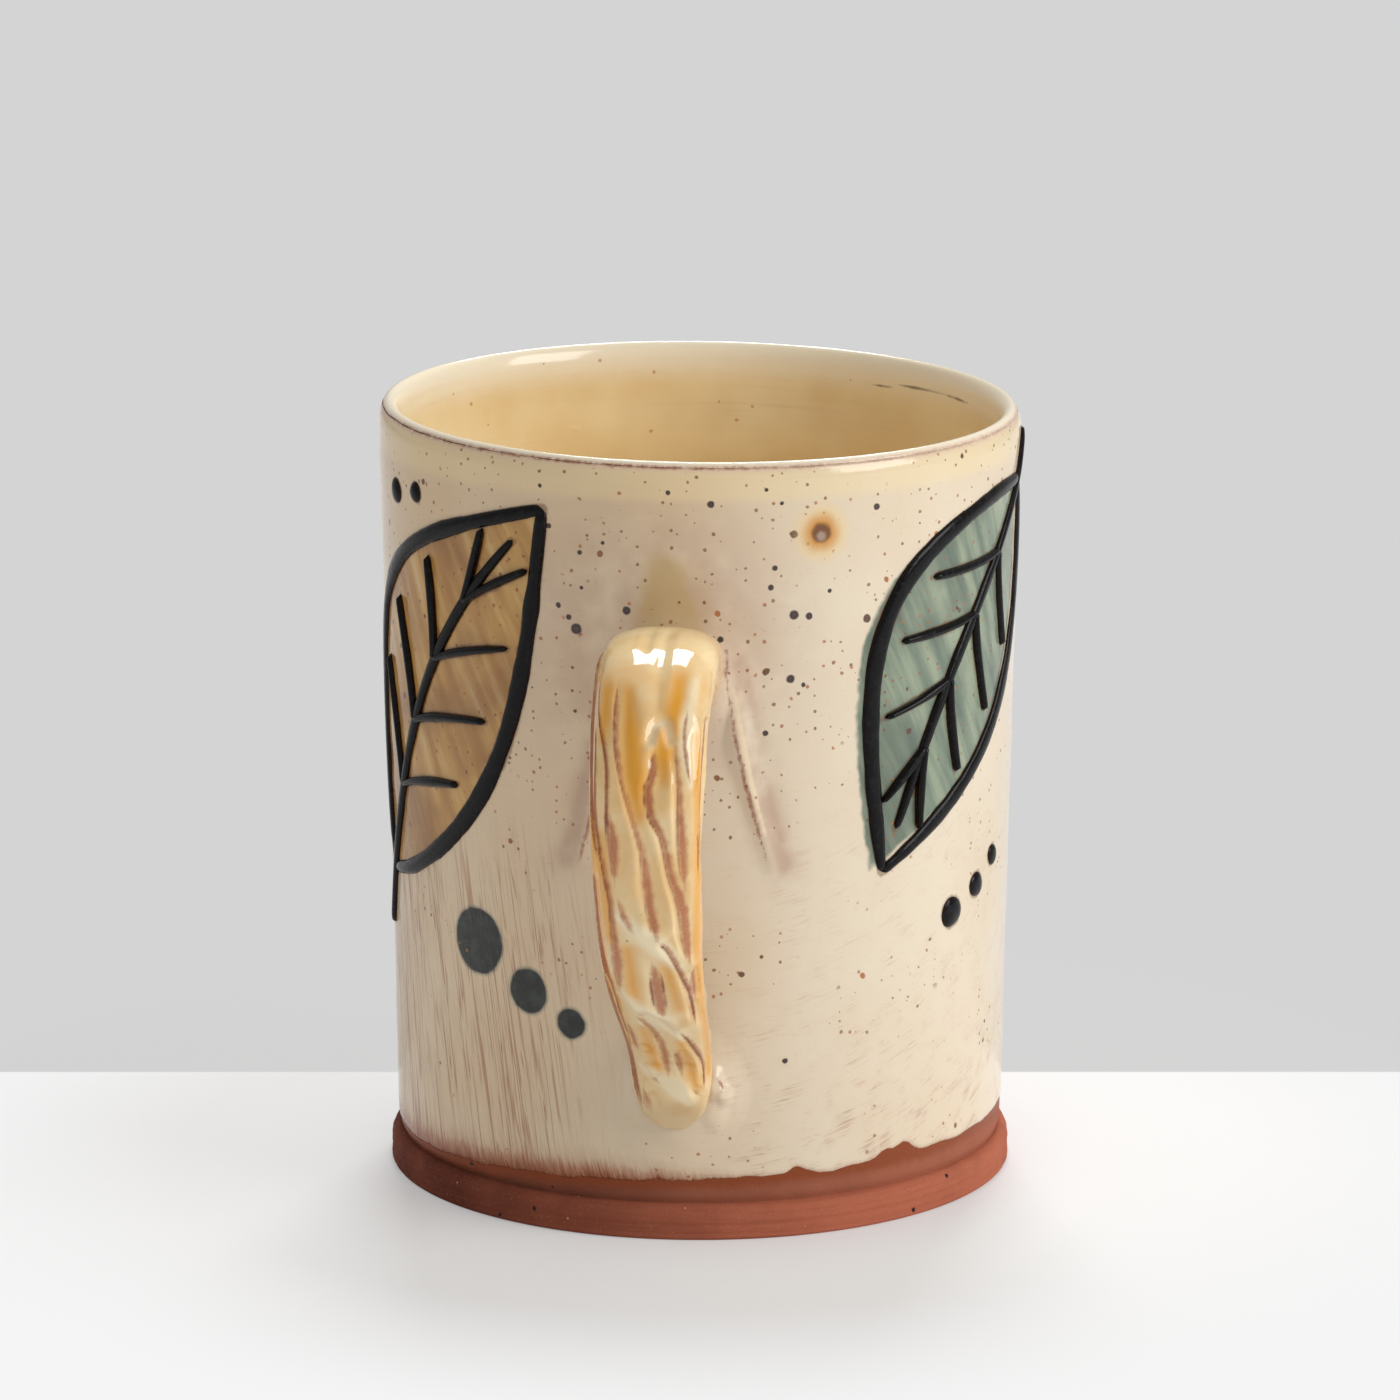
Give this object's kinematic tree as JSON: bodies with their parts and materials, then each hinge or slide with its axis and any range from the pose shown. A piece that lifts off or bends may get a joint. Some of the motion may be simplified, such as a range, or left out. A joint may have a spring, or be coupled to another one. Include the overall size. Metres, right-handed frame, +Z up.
{
  "type": "mug",
  "caption": "Thrown earthenware mug with a pulled, fluted strap handle, cream slip under honey glaze and raised black slip-trailed leaves.",
  "frame": {"origin": "centre of the foot's underside, on the surface that the mug stands on", "axes": "+Z up along the axis of the body, -Y towards the handle, +X to the right when the handle faces the viewer"},
  "size_m": [0.088, 0.1307, 0.107],
  "materials": {
    "red_clay": "bare fired red clay, matt",
    "cream_slip_glaze": "cream slip under clear glaze, satin to glossy, iron specks",
    "liner_slip_glaze": "cream slip under clear glaze, glossy",
    "honey_slip_glaze": "cream slip under pooled honey glaze, glossy, red-brown where it breaks",
    "black_slip": "raised black slip under clear glaze, semi-gloss"
  },
  "bodies": {
    "root": {"foot_plate": "red_clay", "body_wall": "red_clay", "outer_slip_coat": "cream_slip_glaze", "liner_slip_coat": "liner_slip_glaze", "handle_strap": "honey_slip_glaze", "upper_joint_clay": "cream_slip_glaze", "lower_joint_clay": "cream_slip_glaze", "ochre_leaf_trail": "black_slip", "green_leaf_trail": "black_slip", "back_leaf_trail": "black_slip", "slip_dot_1": "black_slip", "slip_dot_2": "black_slip", "slip_dot_3": "black_slip", "slip_dot_4": "black_slip", "slip_dot_5": "black_slip"}
  },
  "joints": []
}
